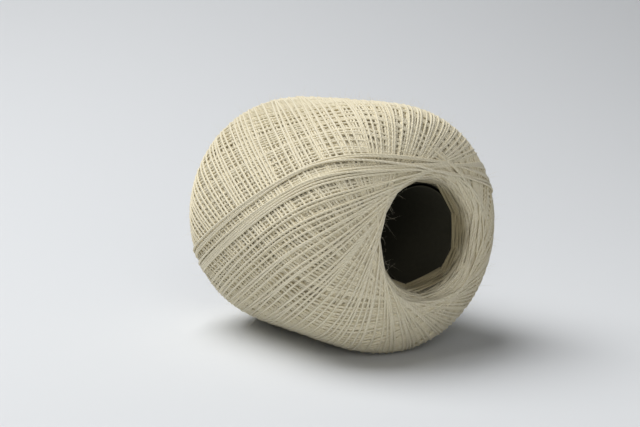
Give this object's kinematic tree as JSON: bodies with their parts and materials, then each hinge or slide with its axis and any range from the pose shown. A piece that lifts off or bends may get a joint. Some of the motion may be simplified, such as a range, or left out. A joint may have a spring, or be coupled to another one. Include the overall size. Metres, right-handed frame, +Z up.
{
  "type": "ball of lace weight yarn",
  "caption": "Barrel-shaped wound ball of fine cream lace yarn, lying on its side, with a dark card tube through it and its last turns as a raised diagonal band.",
  "frame": {"origin": "under the middle of the ball, on the flat spot that it rests on", "axes": "+Z up, +X along the winding axis towards the open front end"},
  "size_m": [0.0772, 0.069, 0.067],
  "materials": {
    "yarn": "matt cream plied yarn, slightly hairy",
    "card": "matt near-black spiral-wound card"
  },
  "bodies": {
    "root": {"wound_yarn": "yarn", "core_tube": "card"}
  },
  "joints": []
}
